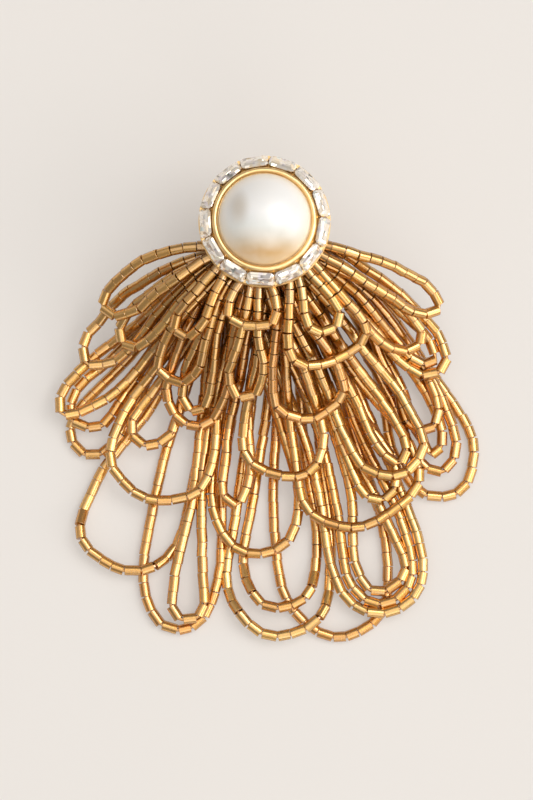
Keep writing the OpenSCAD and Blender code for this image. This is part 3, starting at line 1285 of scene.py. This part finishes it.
@dataclass
class Backing:
    """The sewn backing behind the button: a disc of felt for each layer of strings.

    Sizes are in millimetres. Stitches stand every stitch_step degrees, but not where the strings
    leave, up to bare_from degrees on either side of -Y.
    """

    fan: Fan
    disc_r: float = 9.0
    disc_h: float = 1.4
    disc_crease: float = 50.0
    edge_round: float = 0.35
    rows: int = 6
    stitch_step: float = 9.0
    stitch_size: Range = (0.5, 0.68)
    stitch_r: float = 0.13
    stitch_proud: float = 0.03
    stitch_crease: float = 60.0
    bare_from: float = 78.0

    def disc(self) -> Pattern:
        """Models one disc round the origin, with a rounded edge."""
        clear_selection()
        radius, height = self.disc_r * MM, self.disc_h * MM
        bpy.ops.mesh.primitive_cylinder_add(vertices=96, radius=radius, depth=height)
        bench = Bench("disc_pattern")
        bench.level()
        bench.bevel(self.edge_round * MM, segments=3)
        return Pattern.of(bench.done())

    def stitch(self) -> Pattern:
        """Models one overcast stitch round the origin, standing in XZ."""
        wide, high = self.stitch_size
        clear_selection()
        bpy.ops.mesh.primitive_torus_add(
            major_radius=wide * MM,
            minor_radius=self.stitch_r * MM,
            major_segments=14,
            minor_segments=6,
            rotation=(math.pi / 2, 0, 0),
        )
        bench = Bench("stitch_pattern")
        bench.stretch(value=(1, high / wide, 1))
        return Pattern.of(bench.done())

    def build(self) -> None:
        """Stacks the discs and sews their edges, away from the strings."""
        fan = self.fan
        heights = [(fan.root_z + row * fan.layer_gap) * MM for row in range(self.rows)]
        felt = self.disc().copies("backing", [Matrix.Translation((0, 0, z)) for z in heights])
        smooth(felt, self.disc_crease)
        dress(felt, [Finish.FELT], ["drum"])
        count = int((360 - 2 * self.bare_from) / self.stitch_step) + 1
        r = (self.disc_r - self.stitch_size[0] + self.stitch_proud) * MM
        places = []
        for row, z in enumerate(heights):
            for k in range(count):
                turn = math.radians(self.bare_from - 90 + self.stitch_step * (k + 0.5 * (row % 2)))
                places.append(Matrix.Rotation(turn, 4, "Z") @ Matrix.Translation((r, 0, z)))
        seam = self.stitch().copies("stitches", places)
        smooth(seam, self.stitch_crease)
        dress(seam, [Finish.THREAD], [])


@dataclass(frozen=True)
class Panel:
    """A soft panel of light that faces the earring.

    Its place and its size are in metres before the studio's reach is applied. Its brightness is
    that of its surface, in watts per square metre and steradian.
    """

    name: str
    place: Place
    size: Range
    brightness: float
    colour: Colour = (1.0, 0.98, 0.95)


@dataclass
class Studio:
    """The camera, the soft lights and the pale floor.

    The camera's aim, its distance and the height that it shows there are in millimetres.
    """

    elevation: float = 84.6
    distance: float = 609.3
    aim: Place = (0.3, -26.0, 8.0)
    shown_height: float = 123.0
    sensor: float = 36.0
    clip: Range = (0.01, 20.0)
    reach: float = 1.7
    panels: tuple[Panel, ...] = (
        Panel("key", (0.52, 0.17, 1.03), (0.75, 0.75), 3.5, (1.0, 0.985, 0.97)),
        Panel("top", (0.05, 0.0, 1.22), (1.4, 1.4), 0.8, (1.0, 0.985, 0.97)),
        Panel("fill", (-0.95, 0.3, 0.66), (0.9, 0.9), 0.25, (1.0, 0.97, 0.94)),
        Panel("front", (0.25, -0.8, 0.85), (0.6, 0.6), 1.4),
        Panel("low", (0.35, -1.05, 0.5), (1.0, 0.4), 1.1),
        Panel("side", (1.0, -0.3, 0.5), (0.85, 0.7), 2.5),
    )
    sky: Colour = (1.0, 0.965, 0.93)
    sky_strength: float = 0.3
    floor_size: float = 6.0

    def _put(self, data: Any, place: Vector, back: Vector) -> Piece:
        """Puts a camera or a light in the scene.

        Args:
            data: The camera or the light.
            place: Its place.
            back: The way opposite to the one that it faces.

        Returns:
            Its object.
        """
        piece = bpy.data.objects.new(data.name, data)
        bpy.context.scene.collection.objects.link(piece)
        piece.location = place
        piece.rotation_euler = (-back).to_track_quat("-Z", "Y").to_euler()
        return piece

    def camera(self) -> None:
        """Makes the camera at the photograph's angle, with a long lens."""
        data = bpy.data.cameras.new("camera")
        data.sensor_width = self.sensor
        data.lens = self.sensor * self.distance / self.shown_height
        data.clip_start, data.clip_end = self.clip
        lean = math.radians(self.elevation)
        back = Vector((0, -math.cos(lean), math.sin(lean)))
        place = (Vector(self.aim) + self.distance * back) * MM
        bpy.context.scene.camera = self._put(data, place, back)

    def light(self, panel: Panel) -> None:
        """Adds one panel of light."""
        data = bpy.data.lights.new(panel.name, "AREA")
        data.shape = "RECTANGLE"
        data.size, data.size_y = (self.reach * side for side in panel.size)
        data.energy = math.pi * data.size * data.size_y * panel.brightness
        data.color = panel.colour
        self._put(data, Vector(panel.place) * self.reach, Vector(panel.place))

    def surroundings(self) -> None:
        """Makes the even, weak light from all round."""
        world = bpy.data.worlds.new("surroundings")
        bpy.context.scene.world = world
        world.use_nodes = True
        sky = world.node_tree.nodes["Background"]
        sky.inputs[0].default_value = (*self.sky, 1.0)
        sky.inputs[1].default_value = self.sky_strength
        bpy.context.scene.view_settings.view_transform = "Standard"

    def build(self) -> None:
        """Makes the lights, the surroundings and the floor."""
        for panel in self.panels:
            self.light(panel)
        self.surroundings()
        clear_selection()
        bpy.ops.mesh.primitive_plane_add(size=self.floor_size)
        floor = bpy.context.object
        floor.name = "floor"
        floor.data.materials.append(Finish.FLOOR.material())
        floor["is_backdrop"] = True


def corners(box: tuple[Vector, Vector]) -> list[list[float]]:
    """A box as plain lists of numbers."""
    return [list(box[0]), list(box[1])]


def main() -> None:
    """Builds the earring's looks in the frame, and reports each piece."""
    logging.basicConfig(level=logging.INFO, format="%(name)s %(message)s")
    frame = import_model()
    sizes = {"cad": corners(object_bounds())}
    studio = Studio()
    studio.camera()
    fan = Fan()
    BeadStrings(fan, random.Random(SEED)).build()
    Button(frame["nodes"]).build()
    Backing(fan).build()
    studio.build()
    sizes["visual"] = corners(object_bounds())


if __name__ == "__main__":
    main()
